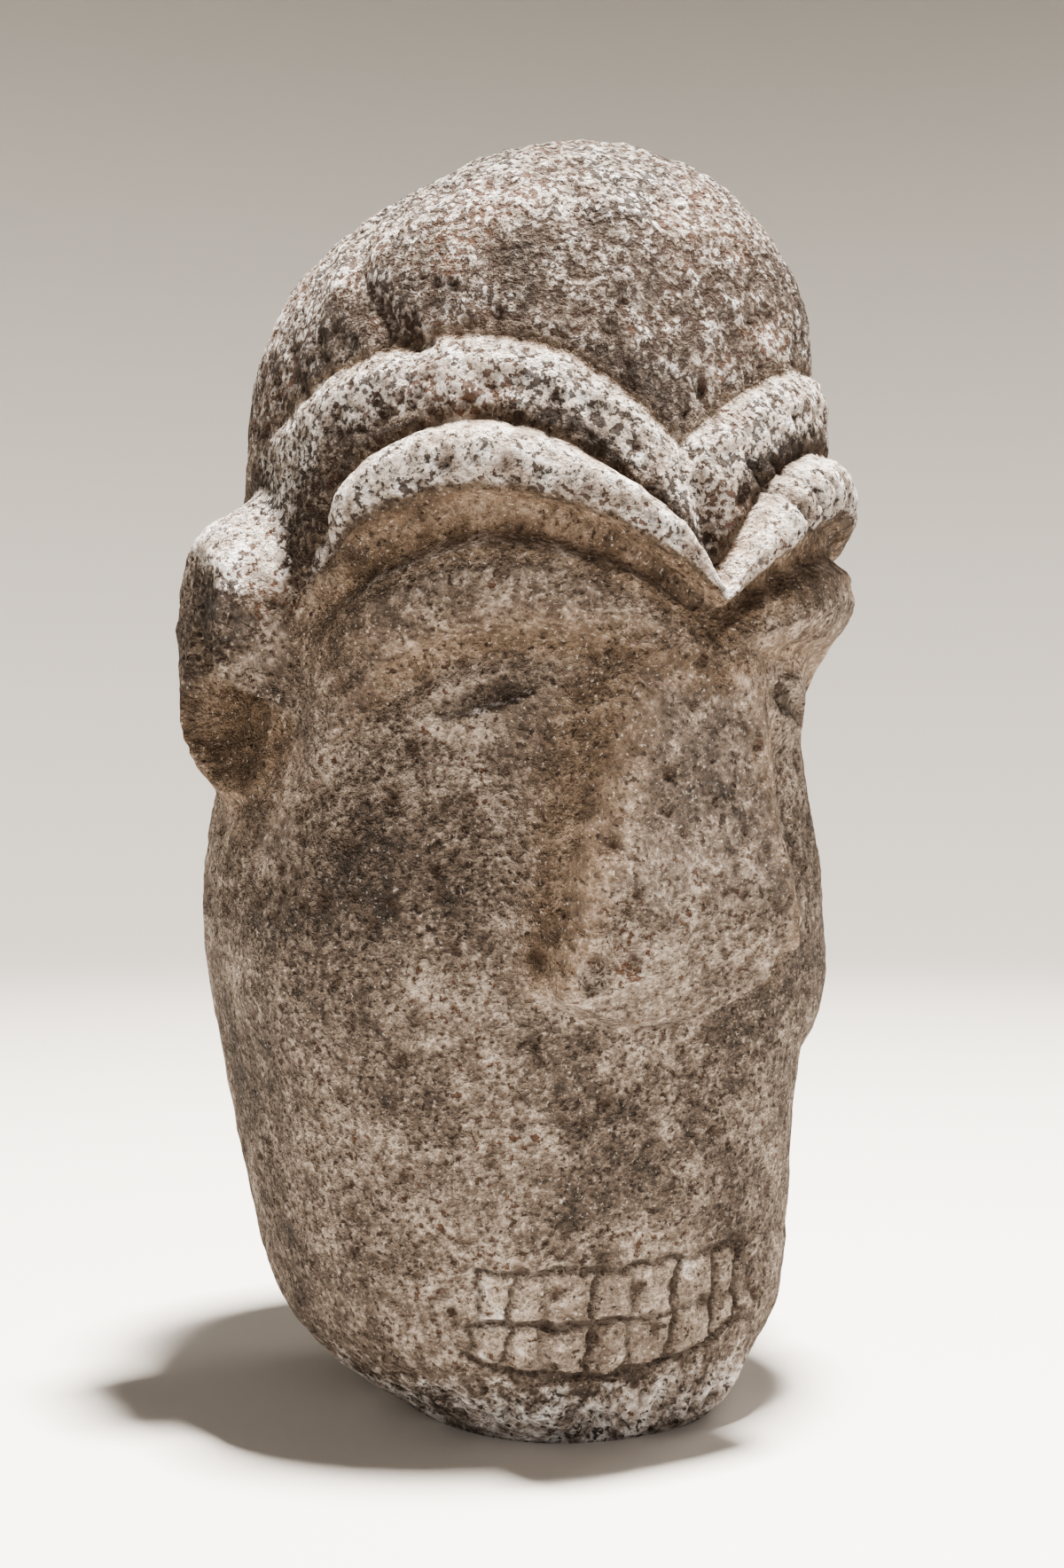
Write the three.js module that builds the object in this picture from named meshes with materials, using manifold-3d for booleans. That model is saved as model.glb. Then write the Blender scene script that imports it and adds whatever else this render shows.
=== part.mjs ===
// A carved stone head: one boulder, worked all round, with arched rolls over the eyes, a wedge
// of a nose, slit eyes, an ear on each side and a mouth with two rows of teeth.
// Millimetres. The face looks along -Y, +X is the right hand of someone facing it, +Z is up,
// and the flat underside lies at height 0 with the middle of its rim near the origin.

import * as THREE from "three";
import { mergeVertices } from "three/addons/utils/BufferGeometryUtils.js";
import Module from "manifold-3d";

// Height of the stone, from which every other length is taken: MM is a millimetre of the head
// as it was measured, so a taller stone keeps its proportions and its carving.
const HEIGHT = 446;
const MM = HEIGHT / 446;
const inMm = (table) => table.map((row) => row.map((length) => length * MM));

// Girth of the boulder before carving, from the underside up: height, half width, reach in
// front of the axis, reach behind it, shift of the middle to the right.
const GIRTH = inMm([
  [0, 77, 86, 92, 13],
  [25, 85, 75, 98, 8],
  [60, 93, 77, 108, 4],
  [110, 98, 87, 123, 0],
  [180, 107, 95, 130, -1],
  [240, 97, 99, 127, -2],
  [300, 95, 104, 120, 0],
  [350, 95, 102, 114, 2],
  [390, 98, 100, 108, 5],
]);
const FACE_REACH = GIRTH[4][2];
const SQUARENESS = 2.25;

// The underside: how high its edge is rounded and the share of the girth that it loses.
const FOOT = { round: 45 * MM, tuck: 0.32, power: 2.1 };

// The dome: where it begins to close, how bluntly, and where its crown stands.
const DOME = { from: 330 * MM, power: 3 };
const CROWN = { x: 13 * MM, y: -26 * MM };

// Unevenness of the boulder: the back left of the dome is flatter, the right temple is fuller.
const FLAT_BACK = { at: -120, spread: 48, height: 432 * MM, tall: 24 * MM, stands: -4 * MM };
const FULL_TEMPLE = { at: 66, spread: 24, height: 294 * MM, tall: 22 * MM, stands: 8 * MM };

// Carving fades out over the underside's edge and at the crown.
const CARVED_FROM = { low: 0, full: 12 * MM };
const CARVED_TO = { full: 433 * MM, none: 441 * MM };

// The arched lines over each eye, the same on both sides of the face's middle: height at the
// middle, at the crown of the arch and at a lower point further out, the height at which its
// row of the mesh passes the ear, the angles of crown and lower point, and the two curvatures.
const archedLine = (middle, crown, end, side, at, out, rise, fall) => ({
  middle: middle * MM,
  crown: crown * MM,
  end: end * MM,
  side: side * MM,
  at,
  out,
  rise,
  fall,
});
const DOME_EDGE = archedLine(331, 365, 350, 348, 42, 85, 2.3, 1.6);
const ROLL_TOP = archedLine(287, 335, 298, 322, 39, 75, 2.3, 1.8);
const ROLL_FOOT = archedLine(279, 312, 285, 292, 38, 78, 1.85, 1.7);
const BROW_TOP = archedLine(271, 294, 266, 277, 38, 75, 1.72, 1.47);
const LID_FOLD = archedLine(258, 269.5, 250, 246, 30, 60, 1.65, 3);
const RIGHT_SPREAD = 0.9;

// How far the band, the roll and the brow stand out, and the edges of their profile.
const BAND = { stands: 7 * MM, groove: 2.8 * MM, lip: 3 * MM, step: 3.5 * MM, edge: 11 * MM };
const ROLL = { stands: 17 * MM, blunt: 2.6, overlap: 1 * MM, rounding: 1.2 * MM, from: 60, to: 78 };
const HOLLOW = { top: 5.5 * MM, low: 3.5 * MM, down: 6 * MM, under: 2 * MM };
const BROW = { stands: 13 * MM, shoulder: 2 * MM, down: 8 * MM, least: 10 * MM, from: 56, to: 82 };
const LID = { above: 5 * MM, drop: 4 * MM, fold: 2 * MM, low: 0.5 * MM, foot: 9 * MM, end: 26 * MM };

// The line where the two brows meet, from the roll up to the dome's edge.
const MEETING = { deep: 3 * MM, spread: 2.4, low: [284 * MM, 292 * MM], high: [330 * MM, 337 * MM] };

// The face's middle leans a little: turns in degrees, and the heights between which each is made.
const LEAN = [
  { turn: 5.5, from: 335 * MM, to: 290 * MM },
  { turn: -2.5, from: 280 * MM, to: 240 * MM },
];
const LEAN_START = -1.5;

// Nose: half width, width of its sloping side and how far it stands out, by height.
const NOSE_MIDDLE = 1 * MM;
const NOSE_FOOT = { height: 144 * MM, middle: -7 * MM, half: 45 * MM, lift: 22 * MM };
const NOSE_LIP = { under: 3 * MM, over: 4 * MM };
const NOSE_HALF = inMm([[138, 41], [165, 42], [190, 38], [225, 32], [255, 27], [290, 20]]);
const NOSE_SIDE = inMm([[138, 9], [165, 8.5], [190, 15], [225, 25], [255, 26], [290, 16]]);
const NOSE_STANDS = inMm([
  [120, 0],
  [141, 5],
  [150, 11],
  [162, 16],
  [178, 19.5],
  [195, 20],
  [215, 18.5],
  [280, 14],
]);
const NOSE_BRIDGE = { from: 262 * MM, to: 290 * MM };
const NOSE_ROUNDING = 3 * MM;
const NOSTRIL = { aside: 38 * MM, height: 165 * MM, wide: 10 * MM, tall: 15 * MM, deep: 5 * MM };
const NOSE_HOLLOW = { at: 28, spread: 10, height: 222 * MM, tall: 28 * MM, deep: 3.5 * MM };

// Eyes: a low swelling with a slit across it.
const EYE = { at: 35.5, perDegree: 1.72 * MM, height: 249.5 * MM, stands: 4 * MM };
const EYE_SWELL = { halfLength: 28 * MM, halfHeight: 17 * MM };
const SLIT = { length: 32 * MM, tall: 9.5 * MM, deep: 4.5 * MM, droop: 15 };

// Mouth: two rows of teeth cut as a grid of grooves. Each long line has its height in the
// middle, its slope and its bow.
const MOUTH = { left: -54 * MM, right: 45 * MM };
const MOUTH_LINES = inMm([[63.7, 1, 2], [45.3, 1.6, 3.3], [26.5, 1.8, 10.5]]);
const TOOTH_GROOVES = inMm([[-53, -43, -32.5, -16, -2, 15, 32.5, 43.5]])[0];
const TOOTH_GROOVE = 1.6 * MM;
const GROOVE_SIDES = 5;

// Ears: a thick rounded body, hollowed under a peak whose two edges slant down.
const EAR = { back: 24 * MM, height: 268 * MM, stands: 22 * MM };
const EAR_SPAN = { forward: 44 * MM, rearward: 33 * MM, up: 58 * MM, down: 56 * MM };
const EAR_THINNER = { share: 0.86, from: -50 * MM, to: 20 * MM };
const EAR_HOLLOW = { aside: 119 * MM, back: 12 * MM, height: 262 * MM, deep: 26 * MM };
const EAR_HOLLOW_SPAN = { halfLength: 32 * MM, halfHeight: 49 * MM };
const EAR_PEAK = { back: 18 * MM, height: 278 * MM, slant: 0.95 };

// Cheeks: a shelf above the jaw, stronger on the right.
const CHEEK = { height: 152 * MM, shelf: 131 * MM, left: 1.5 * MM, right: 5 * MM };
const CHEEK_SPREAD = 24 * MM;
const CHEEK_EDGE = 4 * MM;

// Fineness of the mesh: rows between one arched line and the next, and the angles between
// columns on the face, at the sides and behind.
const DOME_ROWS = 6;
const FOREHEAD_ROWS = 3;
const BAND_ROWS = 5;
const ROLL_ROWS = 6;
const HOLLOW_ROWS = 3;
const BROW_ROWS = 5;
const CHEEK_ROWS = 8;
const NOSE_TIP_ROWS = 5;
const NOSE_FOOT_ROWS = 4;
const JAW_ROWS = 6;
const SOLE_ROWS = 5;
const DOME_SIDE = 390 * MM;
const NOSE_TIP = 188 * MM;
const FOOT_ROWS = { over: 5 * MM, under: 4 * MM };
const SOLE_EDGE = 26 * MM;
const NOSE_COLUMNS = { wall: 26.25, upTo: 60, low: [120 * MM, 140 * MM], high: [232 * MM, 250 * MM] };
const FACE_COLUMNS = { upTo: 60, step: 3.75 };
const SIDE_COLUMNS = { upTo: 112, step: 4.4 };
const BACK_COLUMN_STEP = 11;

const clamp = THREE.MathUtils.clamp;
const rad = THREE.MathUtils.degToRad;

// 0 below the first value, 1 above the second, eased between them.
function ease(from, to, value) {
  const t = clamp((value - from) / (to - from), 0, 1);
  return t * t * (3 - 2 * t);
}

// A bell-shaped swelling, 1 at no distance.
function bell(distance, spread) {
  return Math.exp(-((distance / spread) ** 2));
}

// The greater of two heights, with the corner between them rounded off.
function blendMax(a, b, round) {
  const t = clamp(0.5 + (0.5 * (a - b)) / round, 0, 1);
  return b + (a - b) * t + round * t * (1 - t);
}

// A smooth curve through rows of a table, read from one column, level at both ends.
function along(table, value, column = 1) {
  const last = table.length - 1;
  const v = clamp(value, table[0][0], table[last][0]);
  let i = 0;
  while (i < last - 1 && v > table[i + 1][0]) i += 1;
  const slope = (k) => {
    if (k === 0 || k === last) return 0;
    return (table[k + 1][column] - table[k - 1][column]) / (table[k + 1][0] - table[k - 1][0]);
  };
  const span = table[i + 1][0] - table[i][0];
  const t = (v - table[i][0]) / span;
  const a = table[i][column];
  const b = table[i + 1][column];
  const rise = t * (1 - t) * (1 - t) * span * slope(i) - t * t * (1 - t) * span * slope(i + 1);
  return a + (b - a) * t * t * (3 - 2 * t) + rise;
}

// Surface of the boulder before carving, by angle round the axis and height.
function boulder(angle, z) {
  const level = Math.min(z, GIRTH[GIRTH.length - 1][0]);
  const halfWidth = along(GIRTH, level, 1);
  const reach = along(GIRTH, level, Math.cos(angle) > 0 ? 2 : 3);
  const middle = along(GIRTH, level, 4);
  const up = clamp((z - DOME.from) / (HEIGHT - DOME.from), 0, 1);
  const close = Math.sqrt(Math.max(1 - up ** DOME.power, 0));
  const across = Math.abs(Math.sin(angle) / halfWidth) ** SQUARENESS;
  const inward = Math.abs(Math.cos(angle) / reach) ** SQUARENESS;
  const tuck = FOOT.tuck * clamp(1 - z / FOOT.round, 0, 1) ** FOOT.power;
  const radius = (across + inward) ** (-1 / SQUARENESS) * (1 - tuck);
  return new THREE.Vector3(
    middle + radius * Math.sin(angle) * close + (CROWN.x - middle) * (1 - close),
    -radius * Math.cos(angle) * close + CROWN.y * (1 - close),
    z,
  );
}

// Outward direction of the uncarved boulder.
function outward(angle, z) {
  const da = 0.01;
  const dz = 0.5 * MM;
  const level = Math.min(z, HEIGHT - 3 * dz);
  const round = boulder(angle + da, level).sub(boulder(angle - da, level));
  const rise = boulder(angle, level + dz).sub(boulder(angle, level - dz));
  return round.cross(rise).normalize();
}

// Height of an arched line at an angle from the middle of the face.
function arch(line, off) {
  if (off < line.at) {
    return line.crown - (line.crown - line.middle) * (1 - off / line.at) ** line.rise;
  }
  const t = Math.min((off - line.at) / (line.out - line.at), 1.4);
  return line.crown - (line.crown - line.end) * t ** line.fall;
}

// Middle of the face, in degrees: the carver's line leans a little from the crown to the nose.
function faceMiddle(z) {
  return LEAN.reduce((middle, part) => middle + part.turn * ease(part.from, part.to, z), LEAN_START);
}

// Angle from the middle of the face, spread a little wider on the right.
function fromMiddle(degrees, z) {
  const off = degrees - faceMiddle(z);
  return off > 0 ? off * RIGHT_SPREAD : -off;
}

// Stand-off read down a list of heights and stand-offs, eased from each to the next.
function downProfile(z, knots) {
  let value = knots[0][1];
  for (let k = 1; k < knots.length; k += 1) {
    if (z >= knots[k - 1][0]) break;
    const [top, from] = knots[k - 1];
    const [foot, to] = knots[k];
    value = from + (to - from) * ease(top, Math.min(foot, top - 0.5 * MM), z);
  }
  return value;
}

// Forehead: the dome's edge groove, a flat band, a hollow, the brow and the lid, with a fat
// round-backed roll laid between the band and the hollow.
function forehead(off, z) {
  const groove = 1 - ease(70, 112, off);
  const band = BAND.stands * groove;
  const under = 1 - ease(62, 80, off);
  const brow = 1 - ease(BROW.from, BROW.to, off);
  const mix = (outside, inside, share) => outside + (inside - outside) * share;
  const domeEdge = arch(DOME_EDGE, off);
  const rollTop = arch(ROLL_TOP, off);
  const rollFoot = arch(ROLL_FOOT, off);
  const browTop = arch(BROW_TOP, off);
  const lidFold = arch(LID_FOLD, off);
  const base = downProfile(z, [
    [domeEdge + BAND.lip, 0],
    [domeEdge, -BAND.groove * groove],
    [domeEdge - BAND.step, 0.55 * band],
    [domeEdge - BAND.edge, band],
    [rollTop + 5 * MM, band],
    [rollTop, 0.8 * band],
    [rollFoot + HOLLOW.under, mix(band, HOLLOW.top, under)],
    [Math.min((rollFoot + browTop) / 2, rollFoot - HOLLOW.down), mix(0.7 * band, HOLLOW.low, under)],
    [
      Math.min(browTop + 1 * MM, rollFoot - BROW.least),
      mix(0.5 * band, BROW.stands - BROW.shoulder, brow),
    ],
    [browTop - BROW.down, mix(0.3 * band, BROW.stands, brow)],
    [lidFold + LID.above, mix(0.2 * band, BROW.stands - LID.drop, brow)],
    [lidFold - 1 * MM, LID.fold * brow],
    [lidFold - LID.foot, LID.low * brow],
    [lidFold - LID.end, 0],
  ]);
  const half = (rollTop - rollFoot) / 2 + ROLL.overlap;
  const across = Math.abs((z - rollFoot + ROLL.overlap) / half - 1);
  const roll = ROLL.stands * Math.sqrt(Math.max(1 - across ** ROLL.blunt, 0));
  return blendMax(base, roll * (1 - ease(ROLL.from, ROLL.to, off)), ROLL.rounding) - ROLL.rounding / 4;
}

// Height of the rounded lower edge of the nose.
function noseFoot(x) {
  const aside = Math.min(Math.abs(x - NOSE_FOOT.middle) / NOSE_FOOT.half, 1.2);
  return NOSE_FOOT.height + NOSE_FOOT.lift * aside ** 2.4;
}

function nose(x, z, degrees) {
  if (Math.abs(degrees) > 90) return 0;
  const aside = Math.abs(x - NOSE_MIDDLE);
  const half = along(NOSE_HALF, z);
  const side = along(NOSE_SIDE, z);
  const across = 1 - ease(half - 0.4 * side, half + 0.6 * side, aside);
  const above = ease(-NOSE_LIP.under, NOSE_LIP.over, z - noseFoot(x));
  const bridge = 1 - ease(NOSE_BRIDGE.from, NOSE_BRIDGE.to, z);
  return along(NOSE_STANDS, z) * across * above * bridge;
}

function eye(degrees, z) {
  const aside = (Math.abs(degrees) - EYE.at) * EYE.perDegree;
  const up = z - EYE.height;
  const swell = 1 - (aside / EYE_SWELL.halfLength) ** 2 - (up / EYE_SWELL.halfHeight) ** 2;
  return EYE.stands * Math.max(swell, 0) ** 1.3;
}

function ear(degrees, y, z) {
  const side = ease(56, 68, Math.abs(degrees)) * (1 - ease(140, 155, Math.abs(degrees)));
  const back = y - EAR.back;
  const up = z - EAR.height;
  const alongEar = Math.abs(back / (back > 0 ? EAR_SPAN.rearward : EAR_SPAN.forward)) ** 2.3;
  const upEar = Math.abs(up / (up > 0 ? EAR_SPAN.up : EAR_SPAN.down)) ** 2.3;
  const thick = ease(EAR_THINNER.from, EAR_THINNER.to, up);
  const thin = EAR_THINNER.share + (1 - EAR_THINNER.share) * thick;
  return EAR.stands * ease(0, 0.7, 1 - alongEar - upEar) * thin * side;
}

function cheek(degrees, z) {
  const aside = ease(34, 58, Math.abs(degrees)) * (1 - ease(80, 110, Math.abs(degrees)));
  const stands = degrees > 0 ? CHEEK.right : CHEEK.left;
  const shelf = ease(CHEEK.shelf - CHEEK_EDGE, CHEEK.shelf + CHEEK_EDGE, z);
  return stands * aside * bell(z - CHEEK.height, CHEEK_SPREAD) * shelf;
}

// A wide low swelling of the boulder, or a flattening where it stands in.
function bulge(shape, degrees, z) {
  return shape.stands * bell(degrees - shape.at, shape.spread) * bell(z - shape.height, shape.tall);
}

// How far the carved surface stands out from the boulder.
function carving(angle, z, at) {
  const degrees = THREE.MathUtils.radToDeg(angle);
  const off = fromMiddle(degrees, z);
  let out = forehead(off, z);
  const meeting = ease(...MEETING.low, z) * (1 - ease(...MEETING.high, z));
  out -= MEETING.deep * bell(degrees - faceMiddle(z), MEETING.spread) * meeting;
  out = blendMax(out, nose(at.x, z, degrees), NOSE_ROUNDING) - NOSE_ROUNDING / 4;
  out += eye(degrees, z);
  out -= NOSE_HOLLOW.deep * bell(off - NOSE_HOLLOW.at, NOSE_HOLLOW.spread)
    * bell(z - NOSE_HOLLOW.height, NOSE_HOLLOW.tall);
  out += cheek(degrees, z);
  out += ear(degrees, at.y, z);
  out += bulge(FLAT_BACK, degrees, z) + bulge(FULL_TEMPLE, degrees, z);
  const low = ease(CARVED_FROM.low, CARVED_FROM.full, z);
  return out * low * (1 - ease(CARVED_TO.full, CARVED_TO.none, z));
}

// A column's angle at a height: beside the nose the columns follow its narrowing walls.
function besideNose(angle, z) {
  const degrees = THREE.MathUtils.radToDeg(Math.abs(angle));
  const { wall, upTo, low, high } = NOSE_COLUMNS;
  if (degrees >= upTo) return angle;
  const here = THREE.MathUtils.radToDeg(Math.asin(along(NOSE_HALF, z) / FACE_REACH));
  const follow = ease(...low, z) * (1 - ease(...high, z));
  const to = wall + (here - wall) * follow;
  const outer = to + ((degrees - wall) * (upTo - to)) / (upTo - wall);
  return Math.sign(angle) * rad(degrees < wall ? (degrees * to) / wall : outer);
}

// A point of the finished surface.
function skin(angle, z) {
  const at = boulder(angle, z);
  return at.addScaledVector(outward(angle, z), carving(angle, z, at));
}

// The point of the face at a distance to the right of the middle.
function facePoint(x, z) {
  let low = rad(-85);
  let high = rad(85);
  for (let k = 0; k < 30; k += 1) {
    const half = (low + high) / 2;
    if (skin(half, z).x < x) low = half;
    else high = half;
  }
  return skin(low, z);
}

// Angles of the mesh columns, from straight behind round by the left to behind again.
function columnAngles() {
  const side = [];
  for (let a = 0; a < FACE_COLUMNS.upTo; a += FACE_COLUMNS.step) side.push(a);
  for (let a = FACE_COLUMNS.upTo; a < SIDE_COLUMNS.upTo; a += SIDE_COLUMNS.step) side.push(a);
  for (let a = SIDE_COLUMNS.upTo; a < 180 - BACK_COLUMN_STEP / 2; a += BACK_COLUMN_STEP) side.push(a);
  const left = side.slice(1).reverse().map((a) => -a);
  return [-180, ...left, ...side, 180].map(rad);
}

// Heights of the mesh rows in one column, from the crown down to the underside: they follow
// the arched lines over the eyes, so that each edge has its own row.
function rowHeights(angle) {
  const degrees = THREE.MathUtils.radToDeg(angle);
  const aside = ease(64, 84, Math.abs(degrees));
  const lineHeight = (line) => {
    let z = line.middle;
    for (let k = 0; k < 6; k += 1) z = arch(line, fromMiddle(degrees, z));
    return z + (line.side - z) * aside;
  };
  const foot = noseFoot(FACE_REACH * Math.sin(clamp(angle, rad(-50), rad(50))));
  const stops = [
    DOME_SIDE,
    ...[DOME_EDGE, ROLL_TOP, ROLL_FOOT, BROW_TOP, LID_FOLD].map(lineHeight),
    NOSE_TIP,
    foot + FOOT_ROWS.over,
    foot - FOOT_ROWS.under,
    SOLE_EDGE,
    0,
  ];
  const counts = [
    FOREHEAD_ROWS,
    BAND_ROWS,
    ROLL_ROWS,
    HOLLOW_ROWS,
    BROW_ROWS,
    CHEEK_ROWS,
    NOSE_TIP_ROWS,
    NOSE_FOOT_ROWS,
    JAW_ROWS,
    SOLE_ROWS,
  ];
  const rows = [];
  for (let k = 0; k < DOME_ROWS; k += 1) {
    rows.push(HEIGHT - (HEIGHT - stops[0]) * (k / DOME_ROWS) ** 2);
  }
  counts.forEach((count, part) => {
    for (let k = 0; k < count; k += 1) {
      rows.push(stops[part] + (stops[part + 1] - stops[part]) * (k / count));
    }
  });
  rows.push(0);
  return rows;
}

// The head without its cut lines: a ball whose vertices are moved to the carved surface. Its
// last pole is the middle of the flat underside.
function headGeometry() {
  const columns = columnAngles();
  const rowCount = rowHeights(0).length;
  const ball = new THREE.SphereGeometry(1, columns.length - 1, rowCount);
  const place = ball.getAttribute("position");
  const crown = new THREE.Vector3(CROWN.x, CROWN.y, HEIGHT);
  const sole = new THREE.Vector3(GIRTH[0][4], 0, 0);
  columns.forEach((angle, column) => {
    const rows = rowHeights(angle);
    const behind = Math.abs(angle) === Math.PI;
    for (let row = 0; row <= rowCount; row += 1) {
      let point = sole;
      if (row === 0) point = crown;
      else if (row < rowCount) point = skin(behind ? Math.PI : besideNose(angle, rows[row]), rows[row]);
      place.setXYZ(row * columns.length + column, point.x, point.y, point.z);
    }
  });
  ball.deleteAttribute("normal");
  ball.deleteAttribute("uv");
  return mergeVertices(ball, 1e-3);
}

// A round-bottomed groove along points of the surface.
function grooveGeometry(points, radius) {
  const section = new THREE.Shape();
  for (let k = 0; k < GROOVE_SIDES; k += 1) {
    const turn = (2 * Math.PI * k) / GROOVE_SIDES;
    const corner = [radius * Math.cos(turn), radius * Math.sin(turn)];
    if (k === 0) section.moveTo(...corner);
    else section.lineTo(...corner);
  }
  const path = new THREE.CatmullRomCurve3(points);
  return new THREE.ExtrudeGeometry(section, {
    steps: points.length - 1,
    extrudePath: path,
    bevelEnabled: false,
  });
}

// Heights of the three long lines of the mouth: they bow towards its ends.
function mouthLines(x) {
  const t = (x - (MOUTH.left + MOUTH.right) / 2) / ((MOUTH.right - MOUTH.left) / 2);
  return MOUTH_LINES.map(([height, slope, bow]) => height + slope * t + bow * t * t);
}

function mouthGrooves() {
  const cuts = [];
  const steps = 8;
  for (let line = 0; line < 3; line += 1) {
    const points = [];
    for (let k = 0; k <= steps; k += 1) {
      const x = MOUTH.left + ((MOUTH.right - MOUTH.left) * k) / steps;
      points.push(facePoint(x, mouthLines(x)[line]));
    }
    cuts.push(grooveGeometry(points, TOOTH_GROOVE));
  }
  for (const x of TOOTH_GROOVES) {
    const [top, , foot] = mouthLines(x);
    const points = [0, 1, 2].map((k) => facePoint(x, foot + ((top - foot) * k) / 2));
    cuts.push(grooveGeometry(points, TOOTH_GROOVE * 0.85));
  }
  return cuts;
}

// A hollow with an egg's shape, laid on the surface with its depth along the outward direction.
function hollowGeometry(centre, direction, size, turn) {
  const ball = new THREE.SphereGeometry(1, 10, 7);
  ball.scale(size.long / 2, size.tall / 2, size.deep);
  ball.rotateZ(turn);
  const look = new THREE.Matrix4().lookAt(direction, new THREE.Vector3(), new THREE.Vector3(0, 0, 1));
  ball.applyMatrix4(look);
  return ball.translate(centre.x, centre.y, centre.z);
}

// The hollow of an ear: the part of an egg that lies below both edges of the peak.
function earHollow(side) {
  const ball = new THREE.SphereGeometry(1, 14, 10);
  ball.scale(EAR_HOLLOW.deep, EAR_HOLLOW_SPAN.halfLength, EAR_HOLLOW_SPAN.halfHeight);
  ball.translate(side * EAR_HOLLOW.aside, EAR_HOLLOW.back, EAR_HOLLOW.height);
  const peak = new THREE.Vector3(0, EAR_PEAK.back, EAR_PEAK.height);
  let hollow = solidFrom(ball);
  for (const way of [-1, 1]) {
    const down = new THREE.Vector3(0, way * EAR_PEAK.slant, -1).normalize();
    hollow = hollow.trimByPlane(down.toArray(), down.dot(peak));
  }
  return hollow;
}

function faceHollows() {
  const cuts = [];
  for (const side of [-1, 1]) {
    const angle = rad(side * EYE.at);
    const size = { long: SLIT.length, tall: SLIT.tall, deep: SLIT.deep };
    const droop = rad(-side * SLIT.droop);
    cuts.push(hollowGeometry(skin(angle, EYE.height), outward(angle, EYE.height), size, droop));
    const nostril = facePoint(NOSE_MIDDLE + side * NOSTRIL.aside, NOSTRIL.height);
    const opening = { long: NOSTRIL.wide, tall: NOSTRIL.tall, deep: NOSTRIL.deep };
    cuts.push(hollowGeometry(nostril, new THREE.Vector3(0, -1, 0), opening, 0));
  }
  return cuts;
}

const manifold = await Module();
manifold.setup();

function solidFrom(geometry) {
  const bare = geometry.clone();
  bare.deleteAttribute("normal");
  bare.deleteAttribute("uv");
  const merged = mergeVertices(bare, 1e-3);
  const mesh = new manifold.Mesh({
    numProp: 3,
    vertProperties: new Float32Array(merged.getAttribute("position").array),
    triVerts: new Uint32Array(merged.index.array),
  });
  return new manifold.Manifold(mesh);
}

function geometryFrom(solid) {
  const mesh = solid.getMesh();
  const geometry = new THREE.BufferGeometry();
  geometry.setAttribute("position", new THREE.BufferAttribute(mesh.vertProperties, 3));
  geometry.setIndex(new THREE.BufferAttribute(mesh.triVerts, 1));
  geometry.computeVertexNormals();
  return geometry;
}

// The head, with every line and hollow cut.
function buildHead() {
  let head = solidFrom(headGeometry());
  for (const cut of [...mouthGrooves(), ...faceHollows()]) {
    head = head.subtract(solidFrom(cut));
  }
  for (const side of [-1, 1]) head = head.subtract(earHollow(side));
  return geometryFrom(head);
}

const stone = new THREE.MeshStandardMaterial({ color: "#a08f7f", roughness: 0.95, metalness: 0 });
const head = new THREE.Mesh(buildHead(), stone);
head.name = "stone_head";

const group = new THREE.Group();
group.name = "carved_head";
group.add(head);

export default group;
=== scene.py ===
"""A carved stone head: pitted boulder with arched rolls over the eyes, dust and painted highlight
on top.

Blender 4.5. Metres, in the frame of the CAD part: the face looks along -Y, +Z is up, and the
underside stands at height 0. The carving is worked out in millimetres and scaled at the end.
"""

import math

import bpy
import numpy as np
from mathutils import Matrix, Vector, kdtree, noise


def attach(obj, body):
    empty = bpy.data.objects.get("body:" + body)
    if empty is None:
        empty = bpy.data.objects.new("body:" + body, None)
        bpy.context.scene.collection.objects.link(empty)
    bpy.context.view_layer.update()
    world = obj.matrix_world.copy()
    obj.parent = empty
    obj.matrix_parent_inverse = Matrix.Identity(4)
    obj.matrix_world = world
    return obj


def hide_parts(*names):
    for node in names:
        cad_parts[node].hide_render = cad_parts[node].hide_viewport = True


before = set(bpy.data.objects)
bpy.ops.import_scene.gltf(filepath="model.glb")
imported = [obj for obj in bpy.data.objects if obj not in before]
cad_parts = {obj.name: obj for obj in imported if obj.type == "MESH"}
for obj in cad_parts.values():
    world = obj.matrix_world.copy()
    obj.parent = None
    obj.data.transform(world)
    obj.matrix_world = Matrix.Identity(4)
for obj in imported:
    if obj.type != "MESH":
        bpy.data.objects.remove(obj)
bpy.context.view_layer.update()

# The carved form
# The whole head is one piece of stone. Its form is the same as the CAD part's, on a finer mesh:
# a rounded boulder whose surface is pushed out and in by the rolls, brow, nose, eyes and ears.

HEIGHT = 446.0
GIRTH = [
    (0, 77, 86, 92, 13),
    (25, 85, 75, 98, 8),
    (60, 93, 77, 108, 4),
    (110, 98, 87, 123, 0),
    (180, 107, 95, 130, -1),
    (240, 97, 99, 127, -2),
    (300, 95, 104, 120, 0),
    (350, 95, 102, 114, 2),
    (390, 98, 100, 108, 5),
]  # height, half width, reach in front, reach behind, shift of the middle
SQUARENESS = 2.25
FOOT_ROUND = 45
FOOT_TUCK = 0.32
DOME_FROM = 330
DOME_POWER = 3.0
CROWN = (13.0, -26.0)

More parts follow.
